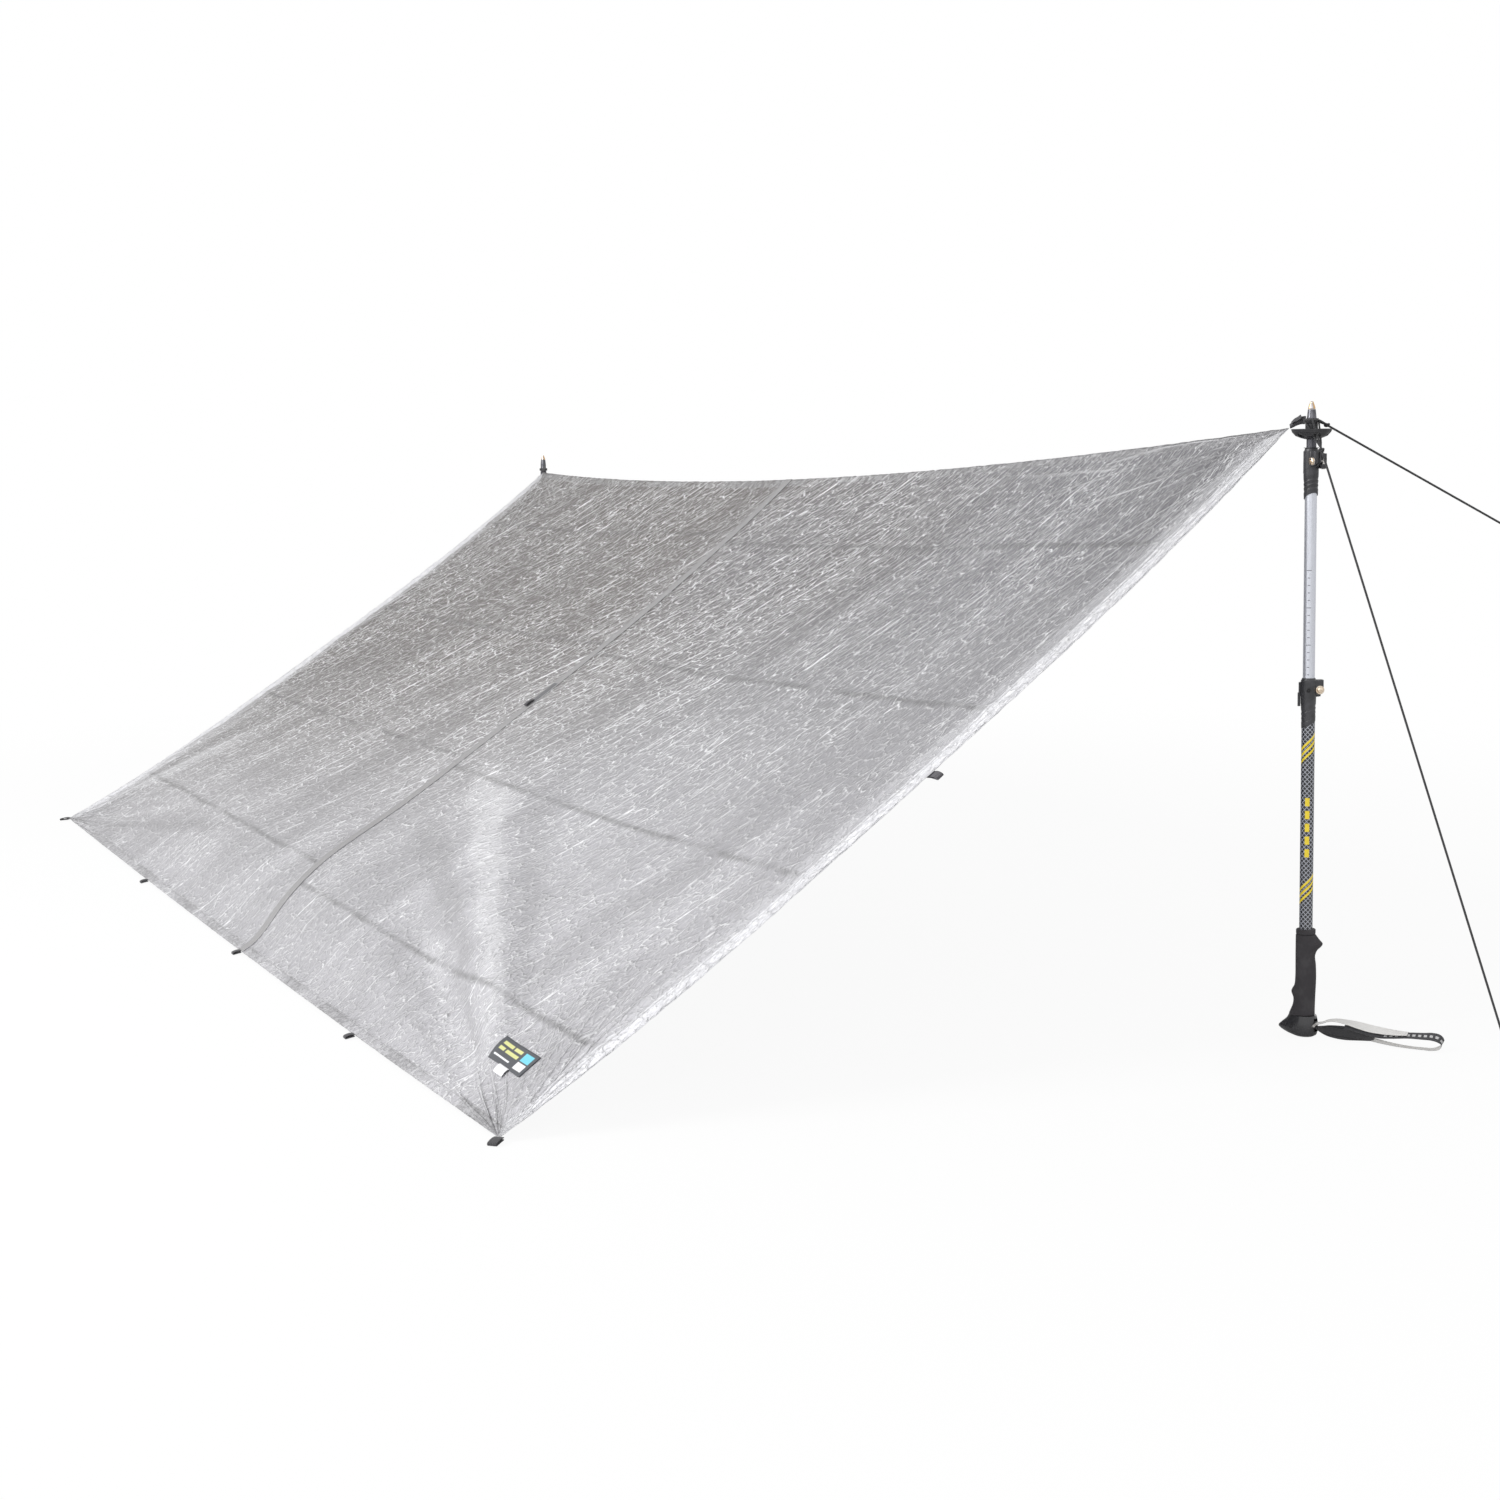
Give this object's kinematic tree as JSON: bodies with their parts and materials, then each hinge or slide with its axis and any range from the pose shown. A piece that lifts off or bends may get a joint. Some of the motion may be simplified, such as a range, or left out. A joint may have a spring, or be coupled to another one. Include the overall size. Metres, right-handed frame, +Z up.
{
  "type": "camping tarp",
  "caption": "Rectangular shelter tarp pitched as a low lean-to on telescopic poles with lever clamps, with webbing loops and taut guy lines.",
  "frame": {"origin": "centre of the right pole's footprint on the ground, under the pole's axis", "axes": "+X from the left pole to the right pole, +Y from the sheet's ground edge towards its raised edge, +Z up"},
  "size_m": [3.522, 1.5233, 0.861],
  "materials": {
    "sheet_cloth": "silver-grey laminated cloth, slightly glossy",
    "seam_tape": "smooth grey tape",
    "patch_cloth": "matte dark cloth",
    "label_cloth": "charcoal printed cloth",
    "tag_cloth": "white satin ribbon",
    "webbing": "black nylon webbing",
    "guy_cord": "black braided cord",
    "strap_webbing": "dark woven strap with a pale lining",
    "grip_rubber": "smooth moulded rubber",
    "grip_foam": "matte foam",
    "woven_shaft": "lacquered weave with yellow stripes",
    "bare_tube": "satin anodised",
    "dark_tube": "dark satin",
    "clamp_plastic": "black moulded",
    "steel": "zinc plated",
    "tip_metal": "bare with a warm tone"
  },
  "bodies": {
    "root": {"left_panel": "sheet_cloth", "right_panel": "sheet_cloth", "centre_seam_tape": "seam_tape", "centre_loop_patch": "patch_cloth", "centre_loop": "webbing", "label_patch": "label_cloth", "care_tag": "tag_cloth", "front_left_corner_loop": "webbing", "front_right_corner_loop": "webbing", "front_loop_1": "webbing", "front_loop_2": "webbing", "front_loop_3": "webbing", "back_loop_1": "webbing", "back_loop_2": "webbing", "back_loop_3": "webbing", "left_edge_loop": "webbing", "right_edge_loop": "webbing", "right_grip_head": "grip_rubber", "right_foam_grip": "grip_foam", "right_grip_ring": "grip_rubber", "right_strap_pin": "steel", "right_handle_shaft": "woven_shaft", "right_handle_clamp": "clamp_plastic", "right_handle_lever_pin": "clamp_plastic", "left_grip_head": "grip_rubber", "left_foam_grip": "grip_foam", "left_grip_ring": "grip_rubber", "left_strap_pin": "steel", "left_handle_shaft": "woven_shaft", "left_handle_clamp": "clamp_plastic", "left_handle_lever_pin": "clamp_plastic"},
    "right_middle": {"right_middle_tube": "bare_tube", "right_tip_clamp": "clamp_plastic", "right_tip_lever_pin": "clamp_plastic"},
    "right_tip": {"right_tip_section": "dark_tube", "right_basket": "clamp_plastic", "right_carbide_tip": "tip_metal", "back_right_corner_loop": "webbing", "right_guy_line": "guy_cord", "right_guy_line_end_loop": "guy_cord", "front_guy_line": "guy_cord", "front_guy_line_end_loop": "guy_cord"},
    "right_handle_lever": {"right_handle_lever": "clamp_plastic"},
    "right_handle_screw": {"right_handle_screw": "steel"},
    "right_tip_lever": {"right_tip_lever": "clamp_plastic"},
    "right_tip_screw": {"right_tip_screw": "steel"},
    "right_strap": {"right_wrist_strap": "strap_webbing"},
    "left_middle": {"left_middle_tube": "bare_tube", "left_tip_clamp": "clamp_plastic", "left_tip_lever_pin": "clamp_plastic"},
    "left_tip": {"left_tip_section": "dark_tube", "left_carbide_tip": "tip_metal", "back_left_corner_loop": "webbing"},
    "left_handle_lever": {"left_handle_lever": "clamp_plastic"},
    "left_handle_screw": {"left_handle_screw": "steel"},
    "left_tip_lever": {"left_tip_lever": "clamp_plastic"},
    "left_tip_screw": {"left_tip_screw": "steel"},
    "left_strap": {"left_wrist_strap": "strap_webbing"}
  },
  "joints": [
    {"name": "right_middle_slide", "type": "slide", "parent": "root", "child": "right_middle", "axis": [0, 0, 1], "range_m": [-0.235, 0]},
    {"name": "right_tip_slide", "type": "slide", "parent": "right_middle", "child": "right_tip", "axis": [0, 0, 1], "range_m": [-0.01, 0]},
    {"name": "right_handle_lever_turn", "type": "hinge", "parent": "root", "child": "right_handle_lever", "pos_m": [-0.00326, 0.01678, 0.476], "axis": [0, 0, -1], "range_deg": [0, 110]},
    {"name": "right_handle_screw_turn", "type": "hinge", "parent": "root", "child": "right_handle_screw", "pos_m": [0.00569, 0.01279, 0.476], "axis": [-0.9135, 0.4067, 0], "range_deg": [-180, 180]},
    {"name": "right_tip_lever_turn", "type": "hinge", "parent": "right_middle", "child": "right_tip_lever", "pos_m": [0.01465, 0.0088, 0.782], "axis": [0, 0, -1], "range_deg": [0, 110]},
    {"name": "right_tip_screw_turn", "type": "hinge", "parent": "right_middle", "child": "right_tip_screw", "pos_m": [0.01397, -0.00098, 0.782], "axis": [0.0698, 0.9976, 0], "range_deg": [-180, 180]},
    {"name": "right_strap_swing", "type": "hinge", "parent": "root", "child": "right_strap", "pos_m": [0.0127, 0.00889, 0.0165], "axis": [0.5736, -0.8192, 0], "range_deg": [0, 40]},
    {"name": "left_middle_slide", "type": "slide", "parent": "root", "child": "left_middle", "axis": [0, 0, 1], "range_m": [-0.148, 0]},
    {"name": "left_tip_slide", "type": "slide", "parent": "left_middle", "child": "left_tip", "axis": [0, 0, 1], "range_m": [-0.01, 0]},
    {"name": "left_handle_lever_turn", "type": "hinge", "parent": "root", "child": "left_handle_lever", "pos_m": [-3.06726, 0.01678, 0.476], "axis": [0, 0, -1], "range_deg": [0, 110]},
    {"name": "left_handle_screw_turn", "type": "hinge", "parent": "root", "child": "left_handle_screw", "pos_m": [-3.05831, 0.01279, 0.476], "axis": [-0.9135, 0.4067, 0], "range_deg": [-180, 180]},
    {"name": "left_tip_lever_turn", "type": "hinge", "parent": "left_middle", "child": "left_tip_lever", "pos_m": [-3.04935, 0.0088, 0.695], "axis": [0, 0, -1], "range_deg": [0, 110]},
    {"name": "left_tip_screw_turn", "type": "hinge", "parent": "left_middle", "child": "left_tip_screw", "pos_m": [-3.05003, -0.00098, 0.695], "axis": [0.0698, 0.9976, 0], "range_deg": [-180, 180]},
    {"name": "left_strap_swing", "type": "hinge", "parent": "root", "child": "left_strap", "pos_m": [-3.0513, 0.00889, 0.0165], "axis": [0.5736, -0.8192, 0], "range_deg": [0, 40]}
  ]
}
